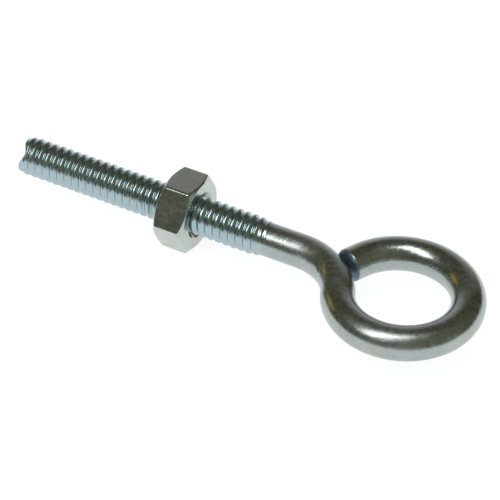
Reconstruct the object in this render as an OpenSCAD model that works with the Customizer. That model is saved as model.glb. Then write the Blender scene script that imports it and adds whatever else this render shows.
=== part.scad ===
// Eye bolt with a hex nut: a round steel rod, threaded at one end and bent at the other
// into a closed eye, with one hexagon nut running on the thread.
// Frame: the shank's axis is the X axis. The threaded tip is at the origin and the eye at +X.
// The eye lies in the XY plane, and +Z is that plane's normal.

/* [Rod] */
// Diameter of the plain rod, mm
rod_d = 5.2; // [5:0.05:5.3]
// Length of the straight shank, from the tip to the start of the neck's bend, mm
shank_len = 47.2; // [46.5:0.1:60]

/* [Thread] */
// Outer diameter of the thread, over its crests, mm
thread_d = 6.2; // [6.1:0.05:6.3]
// Distance from the tip to the end of the full thread, mm
thread_len = 42.4; // [41:0.1:43]
// Length of the run-out, where the thread fades into the plain rod, mm
runout_len = 1.3; // [0.8:0.1:2]
// Depth of the groove at the nut's rest place, mm
groove_depth = 0.5; // [0.3:0.05:0.6]
// Width of that groove, mm
groove_w = 0.7; // [0.6:0.05:0.9]
// Length of the bevel on the tip, mm
tip_bevel = 0.4; // [0.2:0.05:0.45]

/* [Eye] */
// Radius of the neck's bend, to the rod's centre line, mm
neck_r = 9.7; // [9.4:0.1:10]
// Angle through which the neck bends away from the shank, degrees
neck_angle = 67; // [66:0.5:68]
// Radius of the eye's first arc, to the rod's centre line, mm
eye_r = 9.4; // [9.2:0.1:9.6]
// Sweep of the eye's first arc, degrees
eye_sweep = 166; // [164:1:168]
// Radius of the eye's closing arc, to the rod's centre line, mm
closing_r = 9.8; // [9.6:0.1:10]
// Sweep of the closing arc, degrees
closing_sweep = 144; // [142:1:145]
// Length of the straight end that meets the neck, mm
end_len = 1.95; // [1:0.05:2]
// Bevel on the edge of the rod's cut end, mm
end_bevel = 0.3; // [0.1:0.05:0.5]

/* [Nut] */
// Width of the nut across its flats, mm
nut_af = 10.8; // [10.75:0.01:11.11]
// Thickness of the nut, mm
nut_t = 5.1; // [4.6:0.05:5.7]
// Distance from the tip to the nut's near face, mm
nut_x = 25.35; // [20:0.05:30]
// Angle of a flat's normal about the shank, from the Y axis, degrees
nut_turn = 25.5; // [0:0.5:60]
// Angle of the bevel on the nut's corners, degrees
nut_bevel = 30; // [25:1:35]
// Depth of the countersink at each end of the nut's hole, mm
sink = 0.35; // [0.2:0.05:0.5]

/* [Fit] */
// Wall of the nut's threaded zone, mm
zone_wall = 0.5; // [0.4:0.05:0.7]
// Radial running clearance of the thread, mm
clearance = 0.05; // [0.02:0.01:0.1]

/* [Hidden] */
$fn = 64;
zinc = [0.40, 0.45, 0.44];
zinc_nut = [0.47, 0.51, 0.49];

rod_r = rod_d / 2;
thread_r = thread_d / 2;
groove_r = thread_r - groove_depth;
zone_r = thread_r + clearance;
hole_r = zone_r + zone_wall + clearance;
groove_x = nut_x - groove_w;

// The neck and the closing arc are drawn a hair thinner than the stretches they run into, and
// lap into them, so that no two tangent surfaces meet and the rod is one solid.
lap = 0.2;
thinner = 0.02;

// How far a cutting solid runs past the faces it cuts
over = 1;

// The centre line's arcs. Each centre lies on the line through the joint and the centre before it.
neck_c = [shank_len, -neck_r];
eye_start = 270 - neck_angle;
eye_c = neck_c + (neck_r + eye_r) * [sin(neck_angle), cos(neck_angle)];
closing_start = eye_start + eye_sweep;
closing_c = eye_c - (closing_r - eye_r) * [cos(closing_start), sin(closing_start)];
end_angle = closing_start + closing_sweep;
end_start = closing_c + closing_r * [cos(end_angle), sin(end_angle)];

// A stretch of rod bent on a circle in the XY plane
module bent_rod(centre, r, from, sweep, thick = rod_r) {
    translate([centre.x, centre.y, 0])
        rotate([0, 0, from])
            rotate_extrude(angle = sweep)
                translate([r, 0]) circle(r = thick);
}

// A bent stretch that laps into the thicker stretches at both of its ends
module lapped_rod(centre, r, from, sweep) {
    extra = lap / r * 180 / PI;
    bent_rod(centre, r, from - extra, sweep + 2 * extra, rod_r - thinner);
}

// A solid of revolution about the X axis: its outline is a list of [x, radius]
module turned(outline) {
    rotate([0, 90, 0])
        rotate_extrude()
            polygon([for (p = outline) [p[1], p[0]]]);
}

// The straight shank: tip bevel, thread at its outer diameter, one groove beside the nut,
// run-out and plain rod
module shank() {
    thread_end = thread_len + runout_len;
    turned([
        [0, 0],
        [0, thread_r - tip_bevel],
        [tip_bevel, thread_r],
        [groove_x, thread_r],
        [groove_x, groove_r],
        [nut_x, groove_r],
        [nut_x, thread_r],
        [thread_len, thread_r],
        [thread_end, rod_r],
        [shank_len, rod_r],
        [shank_len, 0],
    ]);
}

// The straight cut end of the rod, with its bevelled edge
module cut_end() {
    translate([end_start.x, end_start.y, 0])
        rotate([0, 0, end_angle + 90])
            turned([
                [0, 0],
                [0, rod_r],
                [end_len - end_bevel, rod_r],
                [end_len, rod_r - end_bevel],
                [end_len, 0],
            ]);
}

// The one-piece bolt: shank, neck and eye
module eye_bolt() {
    color(zinc) {
        shank();
        lapped_rod(neck_c, neck_r, 90 - neck_angle, neck_angle);
        bent_rod(eye_c, eye_r, eye_start, eye_sweep);
        lapped_rod(closing_c, closing_r, closing_start, closing_sweep);
        cut_end();
    }
}

// Outline of the nut's bevelled envelope, as [x, radius] from its near face
function nut_envelope() =
    let (corner_r = nut_af / sqrt(3),
         face_r = nut_af / 2,
         bevel_x = (corner_r - face_r) * tan(nut_bevel))
    [
        [0, 0],
        [0, face_r],
        [bevel_x, corner_r],
        [nut_t - bevel_x, corner_r],
        [nut_t, face_r],
        [nut_t, 0],
    ];

// The nut's wrenching body: a hexagon with bevelled corners and a countersunk hole
module hex_nut() {
    color(zinc_nut)
        translate([nut_x, 0, 0])
            difference() {
                intersection() {
                    rotate([nut_turn, 0, 0])
                        rotate([0, 90, 0])
                            cylinder(h = nut_t, r = nut_af / sqrt(3), $fn = 6);
                    turned(nut_envelope());
                }
                turned([
                    [-over, 0],
                    [-over, hole_r + sink + over],
                    [sink, hole_r],
                    [nut_t - sink, hole_r],
                    [nut_t + over, hole_r + sink + over],
                    [nut_t + over, 0],
                ]);
            }
}

// The nut's own threaded zone: the layer of its metal that engages the bolt's thread
module nut_thread() {
    color(zinc_nut)
        translate([nut_x, 0, 0])
            turned([
                [sink, zone_r],
                [sink, zone_r + zone_wall],
                [nut_t - sink, zone_r + zone_wall],
                [nut_t - sink, zone_r],
            ]);
}

eye_bolt();
hex_nut();
nut_thread();
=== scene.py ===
"""Eye bolt with its hex nut: the looks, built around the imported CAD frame.

Lengths are in millimetres in the shape code and become metres when a mesh is made.
The bolt is swept along the rod's centre line, with the thread as a true right-hand helix.
The nut is lofted from its bore to its bevelled hexagon, with the matching internal helix.
"""

import math

import bpy
import numpy as np
from mathutils import Matrix, Vector


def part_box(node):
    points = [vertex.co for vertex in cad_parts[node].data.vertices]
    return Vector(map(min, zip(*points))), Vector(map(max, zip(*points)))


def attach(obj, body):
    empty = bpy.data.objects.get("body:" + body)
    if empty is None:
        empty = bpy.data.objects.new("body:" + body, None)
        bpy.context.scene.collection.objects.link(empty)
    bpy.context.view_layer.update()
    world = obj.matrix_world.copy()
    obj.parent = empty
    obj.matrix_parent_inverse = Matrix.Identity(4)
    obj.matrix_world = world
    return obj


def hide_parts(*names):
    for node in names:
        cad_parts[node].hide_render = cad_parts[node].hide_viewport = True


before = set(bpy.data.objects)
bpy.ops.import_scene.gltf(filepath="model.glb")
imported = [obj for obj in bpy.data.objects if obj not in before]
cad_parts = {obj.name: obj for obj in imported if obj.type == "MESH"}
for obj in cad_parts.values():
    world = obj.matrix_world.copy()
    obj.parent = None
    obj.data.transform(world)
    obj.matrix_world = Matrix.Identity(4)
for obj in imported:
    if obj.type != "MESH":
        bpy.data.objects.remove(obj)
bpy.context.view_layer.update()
MM = 0.001

# ---------------------------------------------------------------- driving dimensions, mm and degrees
ROD_R = 2.56               # the bare rod, and the thread's root
THREAD_R = 2.97            # the thread's crest, before its rolled seam is taken off
PITCH = 1.27
THREAD_LEN = 42.4
SHANK_LEN = 47.2
FIRST_CREST = 0.844        # distance from the tip to the first crest, at CREST_ANGLE
CREST_ANGLE = 45.9         # about the shank, from +Y towards +Z
NECK_R = 9.7
NECK_ANGLE = 67.0
EYE_R = 9.4
EYE_SWEEP = 166.0
CLOSING_R = 9.8            # the eye's last bend is slightly wider
CLOSING_SWEEP = 144.0
END_LEN = 2.15             # the straight stretch before the cut end
NUT_AF = 10.8              # the nut's width across its flats
NUT_TURN = 25.5            # where one of its flats faces, about the shank
NUT_HOLE_R = 2.62          # the tapped hole's inner radius
THREAD_GAP = 0.06          # radial clearance between the two threads


# ---------------------------------------------------------------- small helpers
def smooth(t):
    """0 below 0, 1 above 1, and a smooth step between."""
    t = np.clip(t, 0.0, 1.0)
    return t * t * (3.0 - 2.0 * t)


def hump(x, middle, width):
    """1 at middle, falling off like a bell over about width."""
    return np.exp(-(((x - middle) / width) ** 2))


def soft_max(a, b, k):
    """The larger of a and b, with the crease between them rounded over about k."""
    return k * np.logaddexp(a / k, b / k)


def soft_min(a, b, k):
    """The smaller of a and b, with the crease between them rounded over about k."""
    return -soft_max(-a, -b, k)


def waves(seed, along, around, count, low, high):
    """A sum of seeded waves over a round surface, mostly within 1 of 0, with low to high waves per mm."""
    rng = np.random.default_rng(seed)
    total = np.zeros(np.broadcast(along, around).shape)
    for _ in range(count):
        lobes = rng.integers(-6, 7)
        k = rng.uniform(low, high)
        total += np.sin(2 * math.pi * k * along + lobes * around + rng.uniform(0, 2 * math.pi))
    return total / math.sqrt(count)


def joined(a, b, m):
    """Four-sided faces between two rings of m points, whose first points are a and b."""
    return [[a + i, a + (i + 1) % m, b + (i + 1) % m, b + i] for i in range(m)]


def ring_mesh(name, rings, caps=None, shares=None):
    """A mesh through rings of equal size, in mm, closed by caps or from its last ring to its first.

    caps are the middle points of the two end faces. shares gives named values for each ring, about 0 to 1,
    which the material reads. A cap takes its end ring's.
    """
    rings = np.asarray(rings)
    n, m, _ = rings.shape
    verts = rings.reshape(-1, 3)
    faces = []
    for ring in range(n - 1):
        faces += joined(ring * m, (ring + 1) * m, m)
    if caps:
        verts = np.vstack([verts, caps])
        first, last = n * m, n * m + 1
        faces += [[first, (i + 1) % m, i] for i in range(m)]
        faces += [[last, (n - 1) * m + i, (n - 1) * m + (i + 1) % m] for i in range(m)]
    else:
        faces += joined((n - 1) * m, 0, m)
    mesh = bpy.data.meshes.new(name)
    mesh.from_pydata((verts * MM).tolist(), [], faces)
    mesh.update()
    mesh.shade_smooth()
    for label, share in (shares or {}).items():
        layer = mesh.attributes.new(label, "FLOAT", "POINT")
        ends = [share[0], share[-1]] if caps else []
        layer.data.foreach_set("value", np.concatenate([np.repeat(share, m), ends]))
    return linked(name, mesh)


def linked(name, data):
    """A new object with this data, in the scene."""
    obj = bpy.data.objects.new(name, data)
    bpy.context.scene.collection.objects.link(obj)
    return obj


# ---------------------------------------------------------------- thread
SEAM_DEPTH = 0.07          # the rolled seam along the crest, as a share of the thread's depth
SEAM_WIDTH = 0.12          # as a share of half the pitch
CREST_POWER = 1.3          # above 1 the crests are broader than the roots


def turns(x, angle):
    """Turns of the helix since its first crest, x mm along the shank and angle radians round it."""
    return (x - FIRST_CREST) / PITCH - (angle - math.radians(CREST_ANGLE)) / (2 * math.pi)


def thread_height(x, angle):
    """0 at the thread's root and 1 on its crest, less the seam there, at a place as in turns()."""
    turn = turns(x, angle)
    off = 2.0 * np.abs(turn - np.round(turn))
    ridge = 0.5 + 0.5 * np.cos(math.pi * off**CREST_POWER)
    return ridge - SEAM_DEPTH * hump(off, 0.0, SEAM_WIDTH)


# ---------------------------------------------------------------- the rod's centre line
def polar(degrees):
    """The unit vector at this angle from +X."""
    return np.array([math.cos(math.radians(degrees)), math.sin(math.radians(degrees))])


def straight(start, heading, length):
    """A straight stretch: its length, and its place and heading at s mm along it."""
    return length, lambda s: (start + s * heading, heading)


def arc(centre, r, start, sweep, way):
    """A bend, as from straight(), from the angle start: anticlockwise if way is 1, clockwise if it is -1."""

    def at(s):
        angle = start + way * math.degrees(s / r)
        return centre + r * polar(angle), polar(angle + 90.0 * way)

    return r * math.radians(sweep), at


def centre_line():
    """The rod's middle in the XY plane: its place and heading s mm from the tip, as at(s), and its length."""
    neck_c = np.array([SHANK_LEN, -NECK_R])
    eye_from = 270.0 - NECK_ANGLE
    eye_c = neck_c - (NECK_R + EYE_R) * polar(eye_from)
    closing_from = eye_from + EYE_SWEEP
    closing_c = eye_c - (CLOSING_R - EYE_R) * polar(closing_from)
    end_angle = closing_from + CLOSING_SWEEP
    end_from = closing_c + CLOSING_R * polar(end_angle)
    stretches = [
        straight(np.zeros(2), polar(0.0), SHANK_LEN),
        arc(neck_c, NECK_R, 90.0, NECK_ANGLE, -1),
        arc(eye_c, EYE_R, eye_from, EYE_SWEEP, 1),
        arc(closing_c, CLOSING_R, closing_from, CLOSING_SWEEP, 1),
        straight(end_from, polar(end_angle + 90.0), END_LEN),
    ]

    def at(s):
        for length, place in stretches[:-1]:
            if s <= length:
                return place(s)
            s -= length
        return stretches[-1][1](s)

    return at, sum(length for length, _ in stretches)


# ---------------------------------------------------------------- eye bolt, mm
AROUND = 120               # points in one ring
THREAD_STEP = PITCH / 14   # between rings along the thread
ROD_STEP = 0.30            # and along the bare rod
THREAD_STEP_PAST, STEP_GAP = 2.0, 0.2    # THREAD_STEP goes on so far past the thread, then comes this gap
TIP_RINGS = 8              # rings over the tip's rounding, the dent, the cut end's rounding and the two faces
DENT_RINGS = 19
TAIL_RINGS = 14
TIP_FACE_RINGS = 22
CUT_FACE_RINGS = 14

TIP_ROUND = 0.2            # rounding of the tip's edge
END_ROUND = 0.50           # rounding of the cut end's edge
TIP_REACH = 3.0            # the tip's uneven edge fades out over this length
NOTCH_ANGLE = math.radians(128)          # the side of the tip that the notch is in
NOTCH_DEPTH = 0.90
NOTCH_ASIDE = 0.45         # how far the notch's line passes from the tip's middle
NOTCH_WIDTH = 1.35
NOTCH_FROM, NOTCH_RUN = -0.6, 3.2        # where it starts along that line, and how far it deepens
SLANT, SLANT_SLOPE = 0.06, 0.045         # how far in the tip's face is at its middle, and its slope
DISH_DEPTH = 0.30
TIP_ROUGH, TIP_SEED = 0.02, 7            # the roughness of the tip's face, and of the cut end's
CUT_ROUGH, CUT_SEED = 0.015, 8
CUT_DOME = 0.05
TIP_FACE_SPAN, CUT_FACE_SPAN = (0.06, 0.97), (0.96, 0.08)            # their rings, as shares of the radius

LATE_SIDE = math.radians(75)             # the thread rises last on this side,
LATE_BY, RUN_IN = 0.55, 1.35             # later by so much than opposite, and over so much
RUN_OUT_FROM, RUN_OUT_LEN = THREAD_LEN - 3.0, 2.9
SCORE_AT, SCORE_REACH = THREAD_LEN - 1.7, 1.1          # the finer last grooves, two to a pitch
SCORE_DEPTH, SCORE_SINK = 0.05, 0.4      # half their depth, and the share of it that they lie deeper
PLAIN_AFTER = 3.0          # the surface turns from the thread's to the rod's over this length
DENT_AT, DENT_ANGLE = 53.8, math.radians(138.5)
DENT_DEPTH, DENT_WIDTH, DENT_REACH = 0.16, 0.52, 0.9
DENT_RISE, DENT_RISE_WIDTH = 0.06, 0.22  # the raised middle of the dent
# the unevenness of the rod and of the thread: seed, height, number of waves, least and most waves per mm
ROD_WAVES = [(3, 0.004, 14, 0.05, 0.35), (4, 0.003, 16, 0.4, 1.2)]
THREAD_WAVES = [(5, 0.006, 12, 0.2, 0.9)]
FACE_WAVES = (3.0, 10, 0.2, 0.8)         # length given to the face's radius, number, least and most per mm
# where the plate is bare or half bare, which is rougher there and carries the painted dark blue reflection of
# the cut faces, tinted by the rolling, and worn
BARE_TIP, BARE_END_REACH, BARE_FADE = 0.5, 0.5, 0.25
ROLLED_TO, ROLLED_FADE = THREAD_LEN - 2.6, 3.6
WORN_PLACES = [(48.5, 4.5), (73.0, 5.0)]


def tip_edge(across, up):
    """How far in from x = 0 the cropped and rolled tip lies, in mm, at a point of its end face."""
    along = across * math.cos(NOTCH_ANGLE) + up * math.sin(NOTCH_ANGLE)
    aside = up * math.cos(NOTCH_ANGLE) - across * math.sin(NOTCH_ANGLE)
    notch = NOTCH_DEPTH * hump(aside, NOTCH_ASIDE, NOTCH_WIDTH) * smooth((along - NOTCH_FROM) / NOTCH_RUN)
    dish = DISH_DEPTH * (1.0 - (across**2 + up**2) / THREAD_R**2)
    return SLANT + SLANT_SLOPE * along + notch + np.clip(dish, 0.0, None)


def unevenness(s, angle):
    """The height of the rod's surface above its true shape, in mm, with the dent on the neck."""
    plain = smooth((s - THREAD_LEN) / PLAIN_AFTER)
    total = 0.0
    for patches, share in ((ROD_WAVES, plain), (THREAD_WAVES, 1 - plain)):
        for seed, height, count, low, high in patches:
            total = total + height * waves(seed, s, angle, count, low, high) * share
    away = np.hypot(s - DENT_AT, (angle - DENT_ANGLE) * ROD_R)
    total = total - DENT_DEPTH * hump(away, 0.0, DENT_WIDTH)
    return total + DENT_RISE * hump(away, 0.0, DENT_RISE_WIDTH)


def rod_radius(s, x, angle, total):
    """Radius of the rod in mm, s along it from the tip, x along the shank's axis, angle about its middle."""
    upper = 0.5 + 0.5 * np.cos(angle - LATE_SIDE)
    fade_in = smooth((s + LATE_BY - LATE_BY * upper) / RUN_IN)
    fade_out = 1.0 - smooth((s - RUN_OUT_FROM) / RUN_OUT_LEN)
    r = ROD_R + (THREAD_R - ROD_R) * thread_height(x, angle) * fade_in * fade_out
    score = np.cos(4 * math.pi * turns(x, angle)) - SCORE_SINK
    r = r + SCORE_DEPTH * hump(s, SCORE_AT, SCORE_REACH) * score + unevenness(s, angle)
    for edge, size in ((s, TIP_ROUND), (total - s, END_ROUND)):
        inset = 1.0 - np.clip(edge / size, 0.0, 1.0)
        r = r - size * (1.0 - np.sqrt(1.0 - inset * inset))
    return r


def stations(total):
    """Distances from the tip, in mm, at which the rod gets a ring."""
    start = np.linspace(0.0, TIP_ROUND, TIP_RINGS)
    fine = np.arange(0.0, THREAD_LEN + THREAD_STEP_PAST, THREAD_STEP)
    coarse = np.arange(fine[-1] + STEP_GAP, total - 2 * END_ROUND, ROD_STEP)
    dent = DENT_AT + np.linspace(-DENT_REACH, DENT_REACH, DENT_RINGS)
    tail = np.linspace(total - 2 * END_ROUND, total, TAIL_RINGS)
    return np.unique(np.concatenate([start, fine[fine > TIP_ROUND], coarse, dent, tail]))


def cross_section(place, heading, angle, r, shift):
    """A ring of points of radius r about the rod at place, in mm, moved by shift along its heading."""
    left = (-heading[1], heading[0])
    x = place[0] + heading[0] * shift + left[0] * r * np.cos(angle)
    y = place[1] + heading[1] * shift + left[1] * r * np.cos(angle)
    return np.stack([x, y, r * np.sin(angle)], axis=1)


def face_waves(seed, share, angle):
    """The roughness of an end face, from -1 to 1 or so, at this share of its radius."""
    stretch, count, low, high = FACE_WAVES
    return waves(seed, stretch * share, angle, count, low, high)


def tip_face(at, angle, rim_r):
    """Rings of the cupped face at the tip, from its middle outwards."""
    rings = []
    for share in np.linspace(*TIP_FACE_SPAN, TIP_FACE_RINGS):
        r = rim_r * share
        depth = tip_edge(r * np.cos(angle), r * np.sin(angle))
        depth = depth + TIP_ROUGH * face_waves(TIP_SEED, share, angle)
        rings.append(cross_section(*at(0.0), angle, r, depth))
    return rings


def cut_face(at, total, angle, rim_r):
    """Rings of the sheared, slightly domed face at the rod's cut end, from its rim inwards."""
    rings = []
    for share in np.linspace(*CUT_FACE_SPAN, CUT_FACE_RINGS):
        rise = CUT_DOME * (1.0 - share**2) + CUT_ROUGH * face_waves(CUT_SEED, share, angle) * share
        rings.append(cross_section(*at(total), angle, rim_r * share, rise))
    return rings


def bolt_shares(s, total):
    """Where the plate is bare (which also carries the painted dark blue reflection of the cut faces), rolled
    and worn, for each ring of the bolt.
    """

    def whole(tip, rod, end):
        return np.concatenate([np.full(TIP_FACE_RINGS, tip), rod, np.full(CUT_FACE_RINGS, end)])

    bare = smooth((s - total + BARE_END_REACH) / BARE_FADE)
    rolled = 1.0 - smooth((s - ROLLED_TO) / ROLLED_FADE)
    worn = sum(hump(s, middle, width) for middle, width in WORN_PLACES)
    return {
        "bare": whole(BARE_TIP, bare, 1.0),
        "rolled": whole(1.0, rolled, 0.0),
        "worn": whole(0.0, worn, 0.0),
    }


def build_bolt():
    """The whole rod: the tip's face, the threaded and bare rod, and the cut end's face."""
    at, total = centre_line()
    s = stations(total)
    angle = np.linspace(0, 2 * math.pi, AROUND, endpoint=False)
    rim = tip_edge(ROD_R * np.cos(angle), ROD_R * np.sin(angle))
    pull = np.clip(1.0 - s / TIP_REACH, 0.0, 1.0)[:, None] * rim[None, :]
    radius = rod_radius(s[:, None], s[:, None] + pull, angle[None, :], total)
    rod = [cross_section(*at(d), angle, radius[k], pull[k]) for k, d in enumerate(s)]
    rings = tip_face(at, angle, radius[0]) + rod + cut_face(at, total, angle, radius[-1])
    place, heading = at(total)
    caps = [(tip_edge(0.0, 0.0), 0.0, 0.0), (*(place + heading * CUT_DOME), 0.0)]
    return ring_mesh("eye_bolt_rod", rings, caps, bolt_shares(s, total))


# ---------------------------------------------------------------- hex nut, mm
NUT_AROUND = 480
BORE_RINGS_PER_TURN = 18
FLAT_RINGS = 24
FACE_RINGS = 14
CORNER_SHARPNESS = 70      # higher is sharper
BEVEL_TAN = math.tan(math.radians(30))
BEVEL_REACH = 0.85         # the closer rings over the bevel reach this far from each face
BEVEL_ROUND = 0.10
BEVEL_RINGS = np.concatenate([[0.0, 0.012, 0.03], np.arange(0.05, BEVEL_REACH, 0.028)])
NUT_FACE_R = NUT_AF / 2 * 0.965
SINK_R = THREAD_R + 0.70   # the countersink at each end of the hole: its radius at the face, and its depth
SINK_LEN = 1.35
SINK_MARGIN, BEVEL_MARGIN = 0.03, 0.06   # the face's own rings stop so far from the countersink and the bevel
BORE_ROUND = 0.03


def hexagon(angle):
    """Radius of the nut's six flats, in mm, with slightly rounded corners."""
    flats = [math.radians(NUT_TURN + 60 * k) for k in range(6)]
    facing = sum(np.clip(np.cos(angle - flat), 0, None) ** CORNER_SHARPNESS for flat in flats)
    return (NUT_AF / 2) / facing ** (1 / CORNER_SHARPNESS)


def nut_outside(edge, sides):
    """Radius of the nut's outside in mm, edge from its nearer face: its sides, cut by the corners' bevel."""
    return soft_min(sides, NUT_FACE_R + edge / BEVEL_TAN, BEVEL_ROUND)


def nut_bore(edge, x, angle):
    """Radius of the nut's hole in mm, x along the shank: the thread, cut off at NUT_HOLE_R and sunk."""
    groove = ROD_R + THREAD_GAP + (THREAD_R - ROD_R) * thread_height(x, angle)
    cone = SINK_R - edge * (SINK_R - NUT_HOLE_R) / SINK_LEN
    return soft_max(soft_max(groove, NUT_HOLE_R, BORE_ROUND), cone, BORE_ROUND)


def build_nut():
    """The nut, round from one face over its outside to the other face and back through its hole."""
    low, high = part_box("hex_nut")
    x0, thick = low.x / MM, (high.x - low.x) / MM
    angle = np.linspace(0, 2 * math.pi, NUT_AROUND, endpoint=False)
    sides = hexagon(angle)
    rings = []

    def add(x, r):
        along = np.full(angle.shape, x0 + x)
        rings.append(np.stack([along, r * np.cos(angle), r * np.sin(angle)], axis=1))

    middle = np.linspace(BEVEL_REACH, thick - BEVEL_REACH, FLAT_RINGS)[1:-1]
    face = np.linspace(SINK_R + SINK_MARGIN, NUT_FACE_R - BEVEL_MARGIN, FACE_RINGS)
    for r in face:
        add(0.0, r)
    for x in np.concatenate([BEVEL_RINGS, middle, thick - BEVEL_RINGS[::-1]]):
        add(x, nut_outside(min(x, thick - x), sides))
    for r in face[::-1]:
        add(thick, r)
    for x in np.linspace(thick, 0.0, int(thick / PITCH * BORE_RINGS_PER_TURN)):
        add(x, nut_bore(min(x, thick - x), x0 + x, angle))
    return ring_mesh("hex_nut_body", rings)


# ---------------------------------------------------------------- node trees
class Nodes:
    """Short calls for building a node tree."""

    def __init__(self, owner):
        owner.use_nodes = True
        self.tree = owner.node_tree
        self.tree.nodes.clear()

    def put(self, socket, value):
        """Link value to the socket if it is one itself, or else set it there."""
        if isinstance(value, bpy.types.NodeSocket):
            self.tree.links.new(value, socket)
        else:
            socket.default_value = value

    def add(self, kind, inputs=None, **settings):
        node = self.tree.nodes.new(kind)
        for key, value in settings.items():
            setattr(node, key, value)
        for key, value in (inputs or {}).items():
            self.put(node.inputs[key], value)
        return node

    def noise(self, place, scale, detail=4.0, roughness=0.55, distortion=0.0):
        """Noise from 0 to 1. In metres, a scale of 1000 gives features of about 1 mm."""
        shape = {"Scale": scale, "Detail": detail, "Roughness": roughness, "Distortion": distortion}
        return self.add("ShaderNodeTexNoise", {"Vector": place, **shape}).outputs["Fac"]

    def ramp(self, value, span, low, high):
        """A colour that turns from low to high as value crosses the span."""
        node = self.add("ShaderNodeValToRGB", {"Fac": value})
        for element, position, colour in zip(node.color_ramp.elements, span, (low, high)):
            element.position = position
            element.color = (*colour, 1.0)
        return node.outputs["Color"]

    def spread(self, value, low, high, to_low, to_high, **settings):
        inputs = {"Value": value, "From Min": low, "From Max": high, "To Min": to_low, "To Max": to_high}
        return self.add("ShaderNodeMapRange", inputs, **settings).outputs["Result"]

    def mix(self, share, a, b):
        """Colour a, turning to colour b as share goes from 0 to 1."""
        node = self.add("ShaderNodeMix", data_type="RGBA")
        for name, value in zip(("Factor", "A", "B"), (share, a, b)):
            self.put(node.inputs[name], (*value, 1.0) if isinstance(value, tuple) else value)
        return node.outputs["Result"]

    def maths(self, operation, a, b):
        return self.add("ShaderNodeMath", {0: a, 1: b}, operation=operation).outputs[0]

    def times(self, a, b):
        return self.maths("MULTIPLY", a, b)

    def weighed(self, a, share_a, b, share_b):
        """The sum of a and b, each times its share."""
        return self.maths("ADD", self.times(a, share_a), self.times(b, share_b))

    def share(self, name):
        """A mesh's named values from 0 to 1, or 0 where it has none by that name."""
        return self.add("ShaderNodeAttribute", attribute_name=name).outputs["Fac"]


# ---------------------------------------------------------------- zinc plate
# base colours, the bump's depth in metres, and the smoothest and roughest roughness
ZINC_ROD = {
    "dark": (0.32, 0.365, 0.355),
    "light": (0.42, 0.47, 0.46),
    "warm": (0.43, 0.40, 0.31),
    "grain": 8e-6,
    "rough": (0.18, 0.30),
}
ZINC_NUT = {
    "dark": (0.41, 0.46, 0.43),
    "light": (0.52, 0.565, 0.54),
    "warm": (0.48, 0.46, 0.35),
    "grain": 0.6e-6,
    "rough": (0.16, 0.28),
}
ROLLED_TINT, ROLLED_SHARE = (0.37, 0.50, 0.545), 0.75
# painted reflection: the cut faces' dark blue stands in for the bluish plate reflected in them, varied by the
# shear marks; the rougher, less metallic finish on the next line is the bare steel's own
CUT_PAINTED_DARK, CUT_PAINTED_LIGHT, CUT_PAINTED_SHARE = (0.06, 0.12, 0.17), (0.24, 0.31, 0.36), 0.85
CUT_ROUGHNESS, CUT_METAL = 0.36, 0.8
WORN_ROUGHNESS = 0.08
# noises: scale, detail, roughness and distortion, as noise() takes them
CLOUDS = (260.0, 5.0, 0.6)
MOTTLING = (1500.0, 4.0, 0.6)
FINE_GRAIN = (7000.0, 1.0, 0.5)
PITS = (3600.0, 1.0, 0.5)
PATCHES = (170.0, 3.0, 0.55, 0.6)
RUBBING = (75.0, 2.0)
SHEARING = (900.0, 3.0)
# the stretches of those noises, or of their sums, that the changes are spread over
TONE_RANGE, CUT_PAINTED_RANGE, PATCH_RANGE = (0.36, 0.64), (0.35, 0.7), (0.54, 0.74)
RUB_RANGE, ROUGH_RANGE = (0.42, 0.62), (0.55, 1.05)
# the weights of the layers
CLOUD_TONE, MOTTLE_TONE, CLOUD_ROUGH, PATCH_SHARE = 0.55, 0.45, 0.6, 0.5
FINE_HEIGHT, PIT_HEIGHT, MOTTLE_HEIGHT = 0.9, 1.4, 0.7
RUB_LEAST, RUB_MOST, RUB_ROLLED = 0.15, 1.6, 0.2       # the rubbing, and its share left on the thread
RUBBED_HEIGHT, WORN_HEIGHT = 0.6, 1.1


def zinc_colour(n, place, cloud, mottle, look):
    """Cloudy plate with warm patches, blue-tinted where it was rolled, and a painted dark blue reflection on
    the bare cut faces.
    """
    tone = n.weighed(cloud, CLOUD_TONE, mottle, MOTTLE_TONE)
    colour = n.ramp(tone, TONE_RANGE, look["dark"], look["light"])
    patches = n.spread(n.noise(place, *PATCHES), *PATCH_RANGE, 0.0, PATCH_SHARE)
    colour = n.mix(patches, colour, look["warm"])
    colour = n.mix(n.times(n.share("rolled"), ROLLED_SHARE), colour, ROLLED_TINT)
    # the painted dark blue reflection on the cut faces, varied by the shear marks
    cut = n.ramp(n.noise(place, *SHEARING), CUT_PAINTED_RANGE, CUT_PAINTED_DARK, CUT_PAINTED_LIGHT)
    return n.mix(n.times(n.share("bare"), CUT_PAINTED_SHARE), colour, cut)


def zinc_roughness(n, cloud, mottle, look):
    """Varies with the clouds, and is higher where the plate is worn or cut."""
    mottled = n.maths("ADD", mottle, n.times(cloud, CLOUD_ROUGH))
    roughness = n.spread(mottled, *ROUGH_RANGE, *look["rough"])
    roughness = n.maths("ADD", roughness, n.times(n.share("worn"), WORN_ROUGHNESS))
    return n.maths("MAXIMUM", roughness, n.times(n.share("bare"), CUT_ROUGHNESS))


def zinc_height(n, place, mottle):
    """A fine grain with pits, strongest in rubbed and worn patches, over the mottling."""
    fine = n.noise(place, *FINE_GRAIN)
    grain = n.weighed(fine, FINE_HEIGHT, n.noise(place, *PITS), PIT_HEIGHT)
    rubbed = n.spread(n.noise(place, *RUBBING), *RUB_RANGE, RUB_LEAST, RUB_MOST)
    rubbed = n.times(rubbed, n.spread(n.share("rolled"), 0.0, 1.0, 1.0, RUB_ROLLED))
    rubbed = n.weighed(rubbed, RUBBED_HEIGHT, n.share("worn"), WORN_HEIGHT)
    return n.maths("ADD", n.times(grain, rubbed), n.times(mottle, MOTTLE_HEIGHT))


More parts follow.
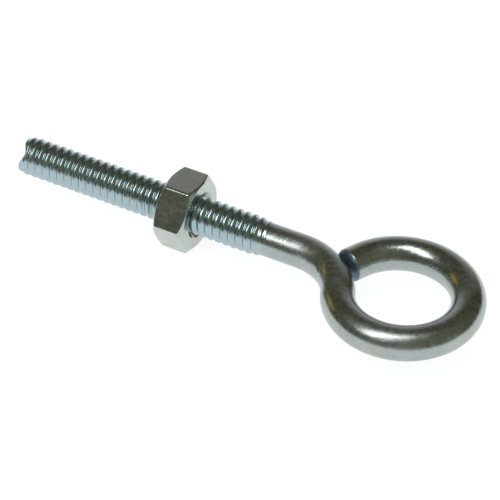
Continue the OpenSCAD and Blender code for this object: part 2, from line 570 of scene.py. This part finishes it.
def zinc(name, look):
    """Bright zinc plate, from a look such as ZINC_ROD."""
    material = bpy.data.materials.new(name)
    n = Nodes(material)
    place = n.add("ShaderNodeTexCoord").outputs["Object"]
    cloud = n.noise(place, *CLOUDS)
    mottle = n.noise(place, *MOTTLING)
    bump = {"Height": zinc_height(n, place, mottle), "Strength": 1.0, "Distance": look["grain"]}
    finish = {
        "Base Color": zinc_colour(n, place, cloud, mottle, look),
        "Metallic": n.spread(n.share("bare"), 0.0, 1.0, 1.0, CUT_METAL),
        "Roughness": zinc_roughness(n, cloud, mottle, look),
        "Normal": n.add("ShaderNodeBump", bump).outputs["Normal"],
    }
    shader = n.add("ShaderNodeBsdfPrincipled", finish)
    n.add("ShaderNodeOutputMaterial", {"Surface": shader.outputs["BSDF"]})
    return material


# ---------------------------------------------------------------- stage, light, world and camera, metres
FLOOR_HALF = 3.0           # half the floor's width
FLOOR_DARK, FLOOR_LIGHT = (0.14, 0.15, 0.15), (0.16, 0.16, 0.16)
FLOOR_NOISE, FLOOR_RANGE = (6.0, 2.0), (0.3, 0.7)
FLOOR_ROUGHNESS = 0.9
FLOOR_GLOW = 0.87

KEY_AT = (0.04, -0.002, 0.0)             # what the light points at
KEY_WAY = (-0.105, -0.37, 0.92)          # and where it is, seen from there
KEY_DISTANCE = 0.6
KEY_SIZE = (0.19, 0.50)
KEY_POWER = 1.45
KEY_SPIN = math.radians(-19)

PALE, PALE_STRENGTH = (0.97, 0.98, 1.0, 1.0), 1.15
ROOM = (0.074, 0.065, 0.030)
# the room's lighter parts: the way to each, the cosines at which it starts and is full, and its colour
ROOM_PARTS = [
    ((0.8, -0.5, 0.3), 0.1, 0.9, (0.16, 0.16, 0.10)),
    ((-0.45, 0.9, -0.02), 0.70, 1.0, (0.58, 0.56, 0.58)),
    ((-0.3, -0.9, 0.25), 0.60, 1.0, (0.10, 0.10, 0.068)),
    ((-0.95, 0.05, 0.32), 0.975, 1.0, (0.60, 0.45, 0.12)),
    ((0.0, 0.0, -1.0), 0.02, 0.14, (0.9, 0.92, 0.92)),
]

CAMERA_AT = (0.163609, -0.247615, 0.236573)
CAMERA_WAY = (-0.34018, 0.6754, -0.6543)
CAMERA_UP = (-0.31575, 0.57336, 0.75602)
CAMERA_LENS, CAMERA_SENSOR = 177.84, 36.0              # mm
CAMERA_NEAR = 0.01


def build_floor(pieces):
    """A plain pale floor, parallel to the bolt's axis, at the height of the pieces' lowest point."""
    lowest = min(v.co.z for piece in pieces for v in piece.data.vertices)
    corners = [(FLOOR_HALF * a, FLOOR_HALF * b, lowest) for a, b in ((-1, -1), (1, -1), (1, 1), (-1, 1))]
    mesh = bpy.data.meshes.new("floor")
    mesh.from_pydata(corners, [], [(0, 1, 2, 3)])
    white = bpy.data.materials.new("floor_white")
    n = Nodes(white)
    place = n.add("ShaderNodeTexCoord").outputs["Object"]
    finish = {
        "Base Color": n.ramp(n.noise(place, *FLOOR_NOISE), FLOOR_RANGE, FLOOR_DARK, FLOOR_LIGHT),
        "Roughness": FLOOR_ROUGHNESS,
        "Emission Color": (1.0, 1.0, 1.0, 1.0),
        "Emission Strength": FLOOR_GLOW,
    }
    shader = n.add("ShaderNodeBsdfPrincipled", finish)
    n.add("ShaderNodeOutputMaterial", {"Surface": shader.outputs["BSDF"]})
    mesh.materials.append(white)
    linked("floor", mesh)


def build_key_light():
    """One large soft light, above and in front."""
    light = bpy.data.lights.new("key", "AREA")
    light.shape = "RECTANGLE"
    light.size, light.size_y = KEY_SIZE
    light.energy = KEY_POWER
    obj = linked("key", light)
    way = Vector(KEY_WAY).normalized()
    obj.location = Vector(KEY_AT) + way * KEY_DISTANCE
    turn = way.to_track_quat("Z", "Y") @ Matrix.Rotation(KEY_SPIN, 3, "Z").to_quaternion()
    obj.rotation_euler = turn.to_euler()


def build_world():
    """Pale to the camera and to matt surfaces; a dim room to shiny ones, so the metal has contrast."""
    world = bpy.data.worlds.new("studio")
    bpy.context.scene.world = world
    n = Nodes(world)
    place = n.add("ShaderNodeTexCoord").outputs["Generated"]
    room = ROOM
    for way, start, full, colour in ROOM_PARTS:
        towards = {0: place, 1: Vector(way).normalized()}
        cosine = n.add("ShaderNodeVectorMath", towards, operation="DOT_PRODUCT").outputs["Value"]
        share = n.spread(cosine, start, full, 0.0, 1.0, interpolation_type="SMOOTHSTEP")
        room = n.mix(share, room, colour)
    pale = n.add("ShaderNodeBackground", {"Color": PALE, "Strength": PALE_STRENGTH})
    dim = n.add("ShaderNodeBackground", {"Color": room})
    glossy = n.add("ShaderNodeLightPath").outputs["Is Glossy Ray"]
    both = n.add("ShaderNodeMixShader", {0: glossy, 1: pale.outputs[0], 2: dim.outputs[0]})
    n.add("ShaderNodeOutputWorld", {"Surface": both.outputs[0]})


def build_camera():
    """The camera: above the bolt, in front of it and on the eye's side."""
    camera = bpy.data.cameras.new("camera")
    camera.lens = CAMERA_LENS
    camera.sensor_width = CAMERA_SENSOR
    camera.clip_start = CAMERA_NEAR
    way = Vector(CAMERA_WAY).normalized()
    right = way.cross(Vector(CAMERA_UP)).normalized()
    up = right.cross(way).normalized()
    obj = linked("camera", camera)
    obj.matrix_world = Matrix.Translation(CAMERA_AT) @ Matrix((right, up, -way)).transposed().to_4x4()
    bpy.context.scene.camera = obj


# ---------------------------------------------------------------- the scene
bpy.context.scene.view_settings.view_transform = "Standard"
build_camera()
build_world()
build_key_light()

bolt = build_bolt()
bolt.data.materials.append(zinc("zinc_rod", ZINC_ROD))
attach(bolt, "bolt")
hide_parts("eye_bolt")

nut = build_nut()
nut.data.materials.append(zinc("zinc_nut", ZINC_NUT))
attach(nut, "nut")
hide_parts("hex_nut", "nut_thread")

build_floor([bolt, nut])
